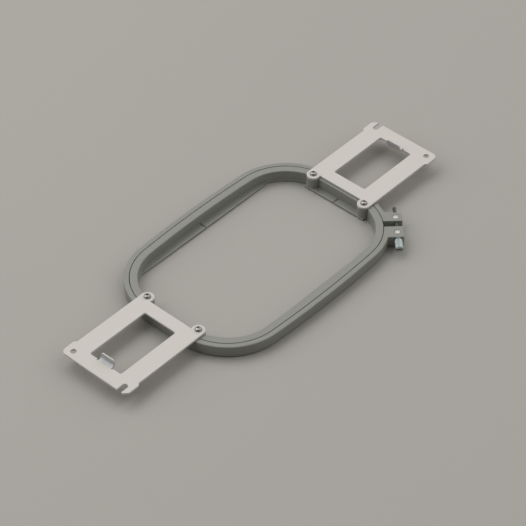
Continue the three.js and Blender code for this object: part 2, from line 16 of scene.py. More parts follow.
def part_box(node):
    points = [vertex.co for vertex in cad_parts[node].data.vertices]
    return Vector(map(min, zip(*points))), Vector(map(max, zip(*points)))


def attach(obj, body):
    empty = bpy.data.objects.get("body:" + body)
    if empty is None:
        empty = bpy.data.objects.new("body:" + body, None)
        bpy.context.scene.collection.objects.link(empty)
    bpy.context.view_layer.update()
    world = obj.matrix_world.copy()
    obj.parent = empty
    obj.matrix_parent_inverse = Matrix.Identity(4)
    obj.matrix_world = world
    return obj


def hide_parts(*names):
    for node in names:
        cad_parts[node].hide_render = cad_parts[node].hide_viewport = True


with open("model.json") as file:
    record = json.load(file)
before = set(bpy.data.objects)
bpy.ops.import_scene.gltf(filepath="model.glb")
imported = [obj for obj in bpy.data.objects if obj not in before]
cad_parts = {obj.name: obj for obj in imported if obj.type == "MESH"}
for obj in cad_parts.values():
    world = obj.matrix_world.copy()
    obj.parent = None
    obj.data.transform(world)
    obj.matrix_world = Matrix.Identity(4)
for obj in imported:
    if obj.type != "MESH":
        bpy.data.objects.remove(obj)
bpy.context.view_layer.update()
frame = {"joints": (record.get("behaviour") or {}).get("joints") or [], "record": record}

MM = 0.001


def box_mm(node):
    """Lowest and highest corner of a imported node, in millimetres."""
    low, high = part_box(node)
    return np.array(low) / MM, np.array(high) / MM


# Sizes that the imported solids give.
HALF_LENGTH, HALF_WIDTH, INNER_HEIGHT = box_mm("inner_ring")[1]
OUTER_BOTTOM = box_mm("outer_ring")[0][2]
OUTER_TOP = box_mm("outer_ring")[1][2]
OUTER_FACE = -box_mm("outer_ring")[0][0] - HALF_LENGTH
PLATE_BOTTOM = box_mm("bracket_right")[0][2]
PLATE_THICKNESS = 2.0
PLATE_TOP = PLATE_BOTTOM + PLATE_THICKNESS
PLATE_LENGTH = box_mm("bracket_right")[1][0] - HALF_LENGTH
WING_HALF = box_mm("bracket_right")[1][1]
SCREW_X, SCREW_Y, _ = sum(box_mm("screw_right_rear")) / 2
SCREW_TIP = box_mm("screw_right_rear")[0][2]
SCREW_CROWN = box_mm("screw_right_rear")[1][2]
TONGUE_CREST = box_mm("bracket_right")[1][2]
BARREL_FLOOR = box_mm("barrel_nut")[0][2]

# Rings.
CORNER_RADIUS = 48.5
BOW_RADIUS = 1050.0
INNER_WALL = 6.4
CLOTH_GAP = 0.6
RIM_ROUND = 0.9
GAP_LIP = 0.2
FOOT_ROUND = 0.4
FLANGE_SIDE_REACH = 6.7
FLANGE_END_REACH = 6.3
FLANGE_CORNER_REACH = 0.6
FLANGE_EDGE = 2.0
FLANGE_RISE = 0.15
FLANGE_SWEEP = 8.0
FLANGE_LIP = 0.35
LEAST_LEAN = 0.3
BOSS_RADIUS = 5.7
MARK_HALF = 0.75
MARK_DEPTH = 0.9
MARK_WALL = 0.02

# Bracket plates, with lengths along X counted outward from the end of the parting line.
PLATE_LIP = 0.4
PLATE_INNER_EDGE = -4.4
PLATE_ROUND = 5.0
EAR_MARGIN = 5.7
WINDOW_START = 7.3
WINDOW_END = 68.0
WINDOW_HALF = 16.65
WINDOW_ROUND = 1.6
WING_START = 67.3
WING_STEP = 1.9
WING_RAMP = 1.8
LOCATOR_RADIUS = 2.4
LOCATOR_INSET = 6.6
LOCATOR_Y = 27.8
FINGER_CHAMFER = 3.4
SCREW_HOLE_RADIUS = 1.8

# Tongues of the brackets, bent up from the outer rail between two relief cuts.
TONGUE_HALF = 7.0
TONGUE_BEND = 2.25
TONGUE_ROUND = 2.2
TONGUE_ROOT = 0.4
TONGUE_LEAF = 1.25
RELIEF_WIDTH = 1.2
RELIEF_DEPTH = 1.0
# Share of bare metal on the tongue's sheared edges; the rest shows the pale paint colour, a painted
# highlight along the edge.
HIGHLIGHT_EDGE_BARE_SHARE = 0.4

# Pan-head bracket screws.
SCREW_RADIUS = 1.5
SCREW_HEAD_GAP = 0.1
SCREW_SEAT = PLATE_TOP + SCREW_HEAD_GAP
SCREW_HEAD_RADIUS = 2.8
SCREW_HEAD_SIDE = 0.5
SCREW_CROWN_RADIUS = 1.3
SCREW_DOME = 0.2
RECESS_WIDTH = 0.7
RECESS_SPAN = 2.4
RECESS_DEPTH = 0.6
RECESS_SLOPE = 0.14

# Turn of a bracket screw's recess in radians: a middle value, and steps by side and by row.
DRIVER_TURN = 0.6
DRIVER_TURN_BY_SIDE = 0.9
DRIVER_TURN_BY_ROW = 0.35

# Corner clamp. Its own X runs along the screw, from the head to the tip, and its Y to the ring.
SPLIT_NEAR = -2.3
SPLIT_FAR = 4.1
NEAR_FACE = -15.5
NEAR_EAR_ROUND = 1.6
FAR_FACE = 16.0
FAR_EAR_TAPER = 2.4
FAR_EAR_ROUND = 2.8
EAR_TIP = -5.1
EAR_ROOT = 10.15
EAR_LIP = 0.45
SCREW_WAY_RADIUS = 2.0
BARREL_PLACE = 9.1
BARREL_RADIUS = 2.5
BARREL_CLEARANCE = 0.1
POCKET_LIP = 0.15
POCKET_DROP = 0.1
BARREL_CHAMFER = 0.3
BARREL_DOME = 0.1
THREAD_RADIUS = 1.5
THREAD_BORE = 1.6
THREAD_PITCH = 0.5
THREAD_DEPTH = 0.28
WASHER_OUTER_FACE = -16.1
WASHER_THICKNESS = 0.5
WASHER_RADIUS = 3.3
WASHER_EDGE = 0.12
HEAD_INNER_FACE = -16.2
HEAD_END = -27.2
HEAD_RADIUS = 3.35
HEAD_CHAMFER = 0.7
FLUTES = 20
FLUTE_DEPTH = 0.3
SLOT_HALF = 0.55
SLOT_DEPTH = 1.8
SLOT_LIP = 0.05
TIP_END = 24.2
TIP_CHAMFER = 0.6
OVERRUN = 1.0

# Place of the clamp, from its joint.
clamp_joint = next(joint for joint in frame["joints"] if joint["name"] == "clamp_screw_turn")
CLAMP_ORIGIN = np.array(clamp_joint["pos_m"][:2]) / MM
CLAMP_AXIS_HEIGHT = clamp_joint["pos_m"][2] / MM
CLAMP_ALONG = -np.array(clamp_joint["axis"][:2])
CLAMP_INWARD = np.array([-CLAMP_ALONG[1], CLAMP_ALONG[0]])

# Fineness of the surfaces.
CORNER_STEPS = 44
BOW_STEPS = 8
BOSS_STEPS = 33
FLANGE_STEPS = 12
ROUND_STEPS = 6
ARC_STEPS = 17
BEND_STEPS = 14
HOLE_STEPS = 49
TURN_STEPS = 72
KNURL_STEPS = 160
ROWS_PER_PITCH = 6
FLAT_RIM = 0.25
WELD = 1e-6
PLAN_NEARNESS = 1e-6
CREASE = math.radians(32)

quarter_turn = np.linspace(0, math.pi / 2, ROUND_STEPS + 1)
ACROSS = np.cos(quarter_turn)
UP = np.sin(quarter_turn)
ON_ROUND = np.sin(2 * quarter_turn)


# Mesh making.
def grid_faces(rows, columns, rows_close=False):
    """Four-cornered faces of a grid numbered row by row, whose columns always close on themselves."""
    row = np.arange(rows if rows_close else rows - 1)[:, None]
    column = np.arange(columns)[None, :]
    row_on = (row + 1) % rows
    column_on = (column + 1) % columns
    corners = [
        row * columns + column,
        row * columns + column_on,
        row_on * columns + column_on,
        row_on * columns + column,
    ]
    return np.stack(np.broadcast_arrays(*corners), axis=-1).reshape(-1, 4)


def weld(mesh):
    """Merges the points that meet, turns all faces outwards and shades smooth up to the crease angle."""
    shell = bmesh.new()
    shell.from_mesh(mesh)
    bmesh.ops.remove_doubles(shell, verts=shell.verts, dist=WELD)
    bmesh.ops.recalc_face_normals(shell, faces=shell.faces)
    shell.to_mesh(mesh)
    shell.free()
    mesh.shade_smooth()
    mesh.set_sharp_from_angle(angle=CREASE)


def make_piece(name, points, faces, edge, bare=None):
    """Mesh object from points in millimetres.
    Its edge attribute is 1 on a rounded edge and 0 away from it. Its bare attribute, where it is given, is
    the share of a second colour: 1 on bare metal, lower on the bracket tongue's edges where the pale paint
    shows as a painted highlight, and 1 on the thumb screw's shank, whose dark colour is painted shade."""
    mesh = bpy.data.meshes.new(name)
    mesh.from_pydata((np.reshape(points, (-1, 3)) * MM).tolist(), [], faces)
    for label, values in (("edge", edge), ("bare", bare)):
        if values is not None:
            attribute = mesh.attributes.new(label, "FLOAT", "POINT")
            attribute.data.foreach_set("value", np.ravel(values).astype(np.float32))
    weld(mesh)
    piece = bpy.data.objects.new(name, mesh)
    bpy.context.scene.collection.objects.link(piece)
    return piece


def cut_from(piece, cutter):
    """Takes a cutter's volume out of a piece and clears the cutter away."""
    cut = piece.modifiers.new("cut", "BOOLEAN")
    cut.operation = "DIFFERENCE"
    cut.solver = "EXACT"
    cut.object = cutter
    graph = bpy.context.evaluated_depsgraph_get()
    mesh = bpy.data.meshes.new_from_object(piece.evaluated_get(graph), depsgraph=graph)
    piece.modifiers.clear()
    piece.data = mesh
    bpy.data.objects.remove(cutter)
    weld(mesh)
    return piece


def inside(loops, spots):
    """Whether each spot lies inside the loops: a ray from it along +X crosses an odd count of edges."""
    starts = np.concatenate(loops)
    ends = np.concatenate([np.roll(loop, -1, axis=0) for loop in loops])
    x, y = spots[:, None].transpose(2, 0, 1)
    straddles = (starts[:, 1] > y) != (ends[:, 1] > y)
    rise = np.where(starts[:, 1] == ends[:, 1], 1, ends[:, 1] - starts[:, 1])
    crossing = starts[:, 0] + (y - starts[:, 1]) * (ends[:, 0] - starts[:, 0]) / rise
    return np.sum(straddles & (x < crossing), axis=1) % 2 == 1


def fill(loops, numbers, ribs=None):
    """Triangles between an outer loop and the loops inside it, by the points' numbers in the piece.
    The ribs, a function of all the plan points, give pairs of points that stay joined by an edge."""
    sizes = [len(loop) for loop in loops]
    starts = np.cumsum([0] + sizes[:-1])
    links = [
        start + np.stack([np.arange(size), np.roll(np.arange(size), -1)], axis=-1)
        for size, start in zip(sizes, starts)
    ]
    if ribs:
        links.append(ribs(np.concatenate(loops)))
    corners = [Vector(point) for point in np.concatenate(loops)]
    made = delaunay_2d_cdt(corners, np.concatenate(links).tolist(), [], 0, PLAN_NEARNESS, True)
    source = np.array([origins[0] for origins in made[3]])
    triangles = source[np.array(made[2])]
    kept = inside(loops, np.concatenate(loops)[triangles].mean(axis=1))
    return np.concatenate(numbers)[triangles[kept]].tolist()


def mitres(loop):
    """Outward mitre of each point of a loop with its material on the left.
    It is the sum of the two edge normals, drawn out until its share along each normal is one."""
    ahead = np.roll(loop, -1, axis=0) - loop
    ahead = ahead / np.linalg.norm(ahead, axis=1, keepdims=True)
    normal = np.stack([ahead[:, 1], -ahead[:, 0]], axis=-1)
    both = normal + np.roll(normal, 1, axis=0)
    return both / np.sum(both * normal, axis=1, keepdims=True)


def flat_solid(name, bottom, top, outline, holes=(), pockets=(), ribs=None, settle=None):
    """Flat solid with rounded edges.
    Every loop is (plan points, lip radius). Its rows climb a quarter round of the foot radius, a wall, and
    a quarter round of the lip radius, each point drawn in along the loop's mitre by radius times one minus
    the sine or the cosine. One more row at either end lies a little way in on the flat.
    A pocket, (plan points, lip radius, floor), starts at its floor instead.
    Flat triangles close the bottom, the top and the floors. At the end the settling moves the points and
    tells which are bare of paint, and where the pale paint colour is kept as a painted highlight."""
    points, faces, edge = [], [], []
    base_loops, base_numbers, crown_loops, crown_numbers = [], [], [], []
    count = 0
    for plan, lip, *floor in [outline, *holes, *pockets]:
        lip = np.broadcast_to(lip, len(plan))
        foot = np.zeros(len(plan)) if floor else np.minimum(lip, FOOT_ROUND)
        base = floor[0] if floor else bottom
        inset = np.concatenate([
            [foot + FLAT_RIM], foot * (1 - UP[:, None]), lip * (1 - ACROSS[:, None]), [lip + FLAT_RIM],
        ])
        height = np.concatenate([
            [base + 0 * foot],
            base + foot * (1 - ACROSS[:, None]),
            top - lip * (1 - UP[:, None]),
            [top + 0 * lip],
        ])
        if floor:
            inset = inset[ROUND_STEPS + 1:]
            height = height[ROUND_STEPS + 1:]
        spots = plan[None] - inset[..., None] * mitres(plan)[None]
        rows, columns = inset.shape
        numbers = count + np.arange(rows * columns).reshape(rows, columns)
        points.append(np.concatenate([spots, height[..., None]], axis=-1).reshape(-1, 3))
        on_round = np.concatenate([[0], 0 * ON_ROUND, ON_ROUND, [0]])[-rows:]
        edge.append(np.repeat(on_round, columns))
        faces += (grid_faces(rows, columns) + count).tolist()
        if floor:
            faces.append(numbers[0].tolist())
        else:
            base_loops.append(spots[0])
            base_numbers.append(numbers[0])
        crown_loops.append(spots[-1])
        crown_numbers.append(numbers[-1])
        count += rows * columns
    faces += fill(base_loops, base_numbers, ribs)
    faces += fill(crown_loops, crown_numbers, ribs)
    points = np.concatenate(points)
    points, bare = settle(points) if settle else (points, None)
    return make_piece(name, points, faces, np.concatenate(edge), bare)


def turned_piece(name, along, radius, origin, axis, across, rows_close=False, bare=None):
    """Turned piece as a grid of rows along an axis and steps of a turn t round it.
    Point = origin + along * axis + radius * (cos t * across + sin t * (axis x across)).
    The reach along the axis and the radius may change with the turn as well as from row to row."""
    steps = np.shape(radius)[1]
    turn = np.linspace(0, 2 * math.pi, steps, endpoint=False)
    round_axis = np.cos(turn)[:, None] * across + np.sin(turn)[:, None] * np.cross(axis, across)
    along, radius = np.broadcast_arrays(along, radius)
    points = origin + along[..., None] * axis + radius[..., None] * round_axis
    faces = grid_faces(len(along), steps, rows_close).tolist()
    return make_piece(name, points, faces, np.zeros(radius.size), bare)


def column(values):
    """One value per row, ready to spread round a turn."""
    return np.array(values, float)[:, None]


def arc(centre, radius, start, end, steps=ARC_STEPS):
    """Plan points on an arc: centre plus radius times the cosine and sine of even bearings, in degrees."""
    bearing = np.radians(np.linspace(start, end, steps))
    return np.array(centre) + radius * np.stack([np.cos(bearing), np.sin(bearing)], axis=-1)


def rounded(before, corner, after, radius):
    """Plan points that round a corner: the circle of that radius that touches both edges."""
    corner = np.array(corner, float)
    back = np.array(before, float) - corner
    ahead = np.array(after, float) - corner
    back /= np.linalg.norm(back)
    ahead /= np.linalg.norm(ahead)
    half = math.acos(np.clip(back @ ahead, -1, 1)) / 2
    middle = (back + ahead) / np.linalg.norm(back + ahead)
    centre = corner + middle * radius / math.sin(half)
    start = corner + back * radius / math.tan(half) - centre
    sweep = math.copysign(math.pi - 2 * half, back[1] * ahead[0] - back[0] * ahead[1])
    turn = np.linspace(0, sweep, ARC_STEPS)[:, None]
    side = np.array([-start[1], start[0]])
    return centre + start * np.cos(turn) + side * np.sin(turn)


# The parting line between the rings: four bowed sides and round corners, as arcs that touch.
END_CENTRE = np.array([HALF_LENGTH - BOW_RADIUS, 0.0])
SIDE_CENTRE = np.array([0.0, HALF_WIDTH - BOW_RADIUS])


def corner_centre():
    """Centre of the corner arc: as far from both bow centres as the bow radius less the corner radius."""
    between = END_CENTRE - SIDE_CENTRE
    half = np.linalg.norm(between) / 2
    along = between / (2 * half)
    rise = math.sqrt((BOW_RADIUS - CORNER_RADIUS) ** 2 - half**2)
    return SIDE_CENTRE + half * along + rise * np.array([along[1], -along[0]])


CORNER_CENTRE = corner_centre()
END_TOUCH = math.atan2(*(CORNER_CENTRE - END_CENTRE)[::-1])
SIDE_TOUCH = math.atan2(*(CORNER_CENTRE - SIDE_CENTRE)[::-1])
CLAMP_CORNER = CORNER_CENTRE * [1, -1]


def arc_rows(centre, radius, bearings):
    """Stations on one arc, as rows of centre x, centre y, radius and bearing."""
    fixed = np.broadcast_to([*centre, radius], (len(bearings), 3))
    return np.column_stack([fixed, bearings])


def ring_stations(end_bearings, corner_bearings, side_bearings):
    """Stations of the whole parting line.
    A quarter is mirrored across the Y axis, and the half so made is turned by half a turn."""
    quarter = np.concatenate([
        arc_rows(END_CENTRE, BOW_RADIUS, end_bearings),
        arc_rows(CORNER_CENTRE, CORNER_RADIUS, corner_bearings),
        arc_rows(SIDE_CENTRE, BOW_RADIUS, side_bearings),
    ])
    mirrored = quarter[::-1] * [-1, 1, 1, -1] + [0, 0, 0, math.pi]
    half = np.concatenate([quarter, mirrored[1:]])
    turned = half * [-1, -1, 1, 1] + [0, 0, 0, math.pi]
    return np.concatenate([half[:-1], turned[:-1]])


def at_offset(stations, offset):
    """Plan points at an offset from the parting line: arc centre plus radius and offset on the bearing."""
    x, y, radius, bearing = (part[:, None] for part in stations.T)
    reach = radius + offset
    return np.stack([x + reach * np.cos(bearing), y + reach * np.sin(bearing)], axis=-1)


def plain_stations():
    """Evenly spread stations for a ring wall with nothing on it."""
    return ring_stations(
        np.linspace(0, END_TOUCH, BOW_STEPS, endpoint=False),
        np.linspace(END_TOUCH, SIDE_TOUCH, CORNER_STEPS, endpoint=False),
        np.linspace(SIDE_TOUCH, math.pi / 2, BOW_STEPS),
    )


# Inner ring.
boss_arm = np.array([SCREW_X, SCREW_Y]) - CORNER_CENTRE
BOSS_REACH = np.linalg.norm(boss_arm)
BOSS_BEARING = math.atan2(boss_arm[1], boss_arm[0])


def boss_bearings():
    """Bearings, from the corner's centre, of even steps round the part of a boss clear of the wall."""
    wall = CORNER_RADIUS - INNER_WALL
    leave = math.acos((BOSS_REACH**2 + BOSS_RADIUS**2 - wall**2) / (2 * BOSS_REACH * BOSS_RADIUS))
    turn = np.linspace(-leave, leave, BOSS_STEPS)
    aside = np.arctan2(BOSS_RADIUS * np.sin(turn), BOSS_REACH - BOSS_RADIUS * np.cos(turn))
    return BOSS_BEARING + aside


def inner_stations():
    """Stations of the inner ring, close together on the bosses and on the centre marks."""
    boss = boss_bearings()
    mark = np.array([0, MARK_HALF / 2, MARK_HALF - MARK_WALL, MARK_HALF]) / BOW_RADIUS
    past_boss = np.linspace(boss[-1], SIDE_TOUCH, CORNER_STEPS, endpoint=False)[1:]
    step_down = boss[-1] + MARK_WALL / CORNER_RADIUS
    to_side_mark = np.linspace(SIDE_TOUCH, math.pi / 2 - mark[-1], BOW_STEPS)[:-1]
    return ring_stations(
        np.concatenate([mark, np.linspace(mark[-1], END_TOUCH, BOW_STEPS)[1:]]),
        np.concatenate([boss, [step_down], past_boss]),
        np.concatenate([to_side_mark, math.pi / 2 - mark[::-1]]),
    )


def boss_face(radius, bearing):
    """Offset of the inner wall's face: the plain wall, or the near side of the boss circle."""
    aside = BOSS_REACH * np.sin(bearing - BOSS_BEARING)
    inside = np.clip(BOSS_RADIUS**2 - aside**2, 0, None)
    face = BOSS_REACH * np.cos(bearing - BOSS_BEARING) - np.sqrt(inside) - CORNER_RADIUS
    on_boss = (radius == CORNER_RADIUS) & (np.abs(aside) < BOSS_RADIUS)
    return np.where(on_boss, np.minimum(face, -INNER_WALL), -INNER_WALL)


def flange_reach(stations):
    """Reach of the flange from the wall, along the wall's normal, to the straight chord of its side.
    In the corners, past the bosses and where the wall leans away from a chord, a narrow lip is left."""
    wall_x, wall_y = np.abs(at_offset(stations, -INNER_WALL)[:, 0]).T
    lean_x = np.abs(np.cos(stations[:, 3]))
    lean_y = np.abs(np.sin(stations[:, 3]))
    side_chord = HALF_WIDTH - INNER_WALL - FLANGE_SIDE_REACH
    end_chord = HALF_LENGTH - INNER_WALL - FLANGE_END_REACH
    to_side = np.where(lean_y > LEAST_LEAN, (wall_y - side_chord) / np.maximum(lean_y, LEAST_LEAN), 0)
    boss_end = CORNER_CENTRE[1] + (CORNER_RADIUS - INNER_WALL) * math.sin(boss_bearings()[-1])
    on_end = (lean_x > LEAST_LEAN) & (wall_y < boss_end + MARK_WALL / 2)
    to_end = np.where(on_end, (wall_x - end_chord) / np.maximum(lean_x, LEAST_LEAN), 0)
    return np.maximum(FLANGE_CORNER_REACH, np.maximum(to_side, to_end))


def inner_ring():
    """Inner ring as a section carried round the parting line.
    The section climbs from the foot up the outer wall, over two quarter-round rims, down the wall or the
    boss, and out along the flange, whose height is its edge plus its rise times a power of the share of its
    reach. At a centre mark the flange drops into a V whose depth falls off evenly from the middle."""
    stations = inner_stations()
    _, _, radius, turn = stations.T
    bearing = np.arctan2(np.abs(np.sin(turn)), np.abs(np.cos(turn)))
    face = boss_face(radius, bearing)[:, None]
    tip = np.minimum(-INNER_WALL - flange_reach(stations)[:, None], face - FLANGE_CORNER_REACH)
    lip = np.minimum(FLANGE_LIP, (face - tip) / 2)
    slope_foot = tip + lip
    rise = np.minimum(FLANGE_RISE, face - tip)
    share = 1 - np.linspace(0, 1, FLANGE_STEPS) ** 2
    from_middle = BOW_RADIUS * np.minimum(bearing, math.pi / 2 - bearing)[:, None]
    on_mark = (radius == BOW_RADIUS)[:, None] & (from_middle < MARK_HALF - MARK_WALL / 2)
    groove = np.where(on_mark, MARK_DEPTH * (1 - from_middle / MARK_HALF), 0)
    slope = FLANGE_EDGE + rise * share**FLANGE_SWEEP
    zero = np.zeros((len(stations), 1))
    offset = np.concatenate([
        zero - FOOT_ROUND + FOOT_ROUND * UP,
        zero - GAP_LIP + GAP_LIP * ACROSS,
        face + RIM_ROUND - RIM_ROUND * UP,
        slope_foot + (face - slope_foot) * share,
        tip + lip - lip * UP,
        tip + FOOT_ROUND - FOOT_ROUND * ACROSS,
    ], axis=1)
    height = np.concatenate([
        zero + FOOT_ROUND - FOOT_ROUND * ACROSS,
        zero + INNER_HEIGHT - GAP_LIP + GAP_LIP * UP,
        zero + INNER_HEIGHT - RIM_ROUND + RIM_ROUND * ACROSS,
        np.where(on_mark, FLANGE_EDGE - groove, slope),
        FLANGE_EDGE - groove - lip + lip * ACROSS,
        zero + FOOT_ROUND - FOOT_ROUND * UP,
    ], axis=1)
    flat = np.zeros(FLANGE_STEPS)
    edge = np.concatenate([0 * ON_ROUND, ON_ROUND, ON_ROUND, flat, ON_ROUND, 0 * ON_ROUND])
    plan = at_offset(stations, offset)
    points = np.concatenate([plan, height[..., None]], axis=-1)
    faces = grid_faces(*offset.shape, rows_close=True).tolist()
    return make_piece("inner_ring_moulding", points, faces, np.broadcast_to(edge, offset.shape))


# Outer ring.
def clamp_plan(points):
    """Plan points of the clamp's own frame in the hoop's frame."""
    x, y = np.transpose(points)[..., None]
    return CLAMP_ORIGIN + x * CLAMP_ALONG + y * CLAMP_INWARD


def clamp_point(x, y=0.0, z=CLAMP_AXIS_HEIGHT):
    """Point of the clamp's own frame in the hoop's frame."""
    return np.append(clamp_plan([[x, y]])[0], z)


def in_clamp(points):
    """Plan points of the hoop's frame in the clamp's own frame."""
    away = points - CLAMP_ORIGIN
    return np.stack([away @ CLAMP_ALONG, away @ CLAMP_INWARD], axis=-1)


def wall_at(x, offset):
    """Clamp-frame point of a ring wall at a clamp-frame x: the near side of the corner's circle."""
    centre_x, centre_y = in_clamp(CLAMP_CORNER)
    return x, centre_y - math.sqrt((CORNER_RADIUS + offset) ** 2 - (x - centre_x) ** 2)


def wall_run(offset, low, high):
    """A ring wall from the clamp's far side round to its near side, less a stretch between two clamp x."""
    points = at_offset(plain_stations(), offset)[:, 0]
    x, y = in_clamp(points).T
    beside = np.flatnonzero((x > low) & (x < high) & (y < CORNER_RADIUS))
    return np.roll(points, -beside[-1] - 1, axis=0)[: -len(beside)]


def far_ear_root():
    """Clamp-frame point where the far ear's slanted side meets the outer wall.
    It is the first crossing of a line and a circle."""
    start = np.array([FAR_FACE - FAR_EAR_TAPER, EAR_TIP])
    run = np.array([FAR_FACE, EAR_ROOT]) - start
    away = start - in_clamp(CLAMP_CORNER)
    a = run @ run
    b = run @ away
    c = away @ away - (CORNER_RADIUS + OUTER_FACE) ** 2
    return start + run * (-b - math.sqrt(b * b - a * c)) / a


def outer_ring():
    """Outer ring as a flat solid: one C-shaped loop along the outer wall, round the ears and inside."""
    far_root = far_ear_root()
    near_root = wall_at(NEAR_FACE, OUTER_FACE)
    far_tip = (FAR_FACE - FAR_EAR_TAPER, EAR_TIP)
    far_ear = np.concatenate([
        [(SPLIT_FAR, EAR_TIP)],
        rounded((SPLIT_FAR, EAR_TIP), far_tip, far_root, FAR_EAR_ROUND),
        [far_root],
    ])
    near_ear = np.concatenate([
        [near_root],
        rounded(near_root, (NEAR_FACE, EAR_TIP), (SPLIT_NEAR, EAR_TIP), NEAR_EAR_ROUND),
        [(SPLIT_NEAR, EAR_TIP), wall_at(SPLIT_NEAR, CLOTH_GAP)],
    ])
    far_end = clamp_plan([wall_at(SPLIT_FAR, CLOTH_GAP)])
    runs = [
        (clamp_plan(far_ear), EAR_LIP),
        (wall_run(OUTER_FACE, NEAR_FACE, far_root[0]), RIM_ROUND),
        (clamp_plan(near_ear), EAR_LIP),
        (wall_run(CLOTH_GAP, SPLIT_NEAR, SPLIT_FAR)[::-1], GAP_LIP),
        (far_end, EAR_LIP),
    ]
    plan = np.concatenate([run for run, _ in runs])
    lip = np.concatenate([np.full(len(run), size) for run, size in runs])
    pocket_radius = BARREL_RADIUS + BARREL_CLEARANCE
    pocket_floor = BARREL_FLOOR - POCKET_DROP
    pockets = [
        (clamp_plan(arc((x, 0), pocket_radius, 360, 0, HOLE_STEPS)[:-1]), POCKET_LIP, pocket_floor)
        for x in (-BARREL_PLACE, BARREL_PLACE)
    ]
    ring = flat_solid("outer_ring_moulding", OUTER_BOTTOM, OUTER_TOP, (plan, lip), pockets=pockets)
    reach = column([NEAR_FACE - OVERRUN, NEAR_FACE - OVERRUN, FAR_FACE + OVERRUN, FAR_FACE + OVERRUN])
    size = column([0, 1, 1, 0]) * np.full(HOLE_STEPS - 1, SCREW_WAY_RADIUS)
    return cut_from(ring, turned_along_clamp("screw_way", reach, size))


# Brackets.
def bracket_outline():
    """Outline of the right bracket, from the inner edge round the front ear, the wings and the slot."""
    ear_x = SCREW_X - HALF_LENGTH
    ear_turn = math.degrees(math.acos((PLATE_INNER_EDGE - ear_x) / EAR_MARGIN))
    half = WING_HALF - WING_STEP
    slot_x = PLATE_LENGTH - LOCATOR_INSET
    return np.concatenate([
        arc((ear_x, -SCREW_Y), EAR_MARGIN, ear_turn, 270, 2 * ARC_STEPS),
        [(WING_START - WING_RAMP, -half), (WING_START, -WING_HALF)],
        arc((PLATE_LENGTH - PLATE_ROUND, PLATE_ROUND - WING_HALF), PLATE_ROUND, -90, 0),
        [(PLATE_LENGTH, LOCATOR_Y - LOCATOR_RADIUS)],
        arc((slot_x, LOCATOR_Y), LOCATOR_RADIUS, -90, -270, 2 * ARC_STEPS),
        [(PLATE_LENGTH, LOCATOR_Y + LOCATOR_RADIUS), (PLATE_LENGTH, WING_HALF - FINGER_CHAMFER)],
        [(PLATE_LENGTH - FINGER_CHAMFER, WING_HALF)],
        [(WING_START, WING_HALF), (WING_START - WING_RAMP, half)],
        arc((ear_x, SCREW_Y), EAR_MARGIN, 90, 360 - ear_turn, 2 * ARC_STEPS),
    ])


BEND_LINE = WINDOW_END + TONGUE_ROOT
BEND_MIDDLE = TONGUE_BEND + PLATE_THICKNESS / 2
BEND_RUN = BEND_MIDDLE * math.pi / 2
TONGUE_TIP = BEND_LINE - BEND_RUN - (TONGUE_CREST - PLATE_TOP - TONGUE_BEND)


def bracket_window():
    """Window of the bracket, a rectangle with round corners, walked with the plate on its left.
    The tongue lies flat in it here, with close points along the stretch of its sides that is bent later."""
    far = WINDOW_END - WINDOW_ROUND
    near = WINDOW_START + WINDOW_ROUND
    high = WINDOW_HALF - WINDOW_ROUND
    relief = TONGUE_HALF + RELIEF_WIDTH
    relief_end = WINDOW_END + RELIEF_DEPTH
    bend = BEND_LINE - np.linspace(0, BEND_RUN, BEND_STEPS + 1)
    tongue_side = np.concatenate([
        [(WINDOW_END, relief), (relief_end, relief), (relief_end, TONGUE_HALF)],
        np.column_stack([bend, np.full(len(bend), TONGUE_HALF)]),
        arc((TONGUE_TIP + TONGUE_ROUND, TONGUE_HALF - TONGUE_ROUND), TONGUE_ROUND, 90, 180),
    ])
    return np.concatenate([
        arc((near, -high), WINDOW_ROUND, 270, 180),
        arc((near, high), WINDOW_ROUND, 180, 90),
        arc((far, high), WINDOW_ROUND, 90, 0),
        tongue_side,
        tongue_side[::-1] * [1, -1],
        arc((far, -high), WINDOW_ROUND, 0, -90),
    ])


def bend_tongue(points):
    """Bends the flat tongue up by a quarter turn, and gives each point's share of bare metal.
    A run u past the bend line turns by u over the bend's middle radius. The point's reach from the bend's
    centre is kept, but its depth from the far face thins from the plate to the leaf along the bend, and
    what is left of the run after the quarter turn goes straight up.
    The sheared edge keeps more of the pale paint colour than the faces, as a painted highlight along it."""
    x, y, z = points.T
    on_tongue = (x < BEND_LINE) & (x > TONGUE_TIP - FLAT_RIM) & (np.abs(y) < TONGUE_HALF + RELIEF_WIDTH / 2)
    run = np.where(on_tongue, BEND_LINE - x, 0)
    turn = np.minimum(run / BEND_MIDDLE, math.pi / 2)
    centre_z = PLATE_TOP + TONGUE_BEND
    leaf = 1 - (1 - TONGUE_LEAF / PLATE_THICKNESS) * np.minimum(run / BEND_RUN, 1)
    reach = centre_z - PLATE_BOTTOM - (z - PLATE_BOTTOM) * leaf
    bent_x = BEND_LINE - reach * np.sin(turn)
    bent_z = centre_z - reach * np.cos(turn) + np.maximum(run - BEND_RUN, 0)
    bent = np.column_stack([np.where(on_tongue, bent_x, x), y, np.where(on_tongue, bent_z, z)])
    on_face = np.minimum(z - PLATE_BOTTOM, PLATE_TOP - z) < WELD / MM
    return bent, (run > TONGUE_ROOT) * np.where(on_face, 1, HIGHLIGHT_EDGE_BARE_SHARE)


def tongue_ribs(spots):
    """Pairs of plan points that face each other across the tongue's bend, which makes its rows straight."""
    x, y = spots.T
    on_bend = (np.abs(x - BEND_LINE + BEND_RUN / 2) < BEND_RUN / 2 + FLAT_RIM) & (np.abs(y) < TONGUE_HALF)
    sides = [np.flatnonzero(on_bend & (y > 0)), np.flatnonzero(on_bend & (y < 0))]
    return np.stack([side[np.argsort(x[side])] for side in sides], axis=-1)


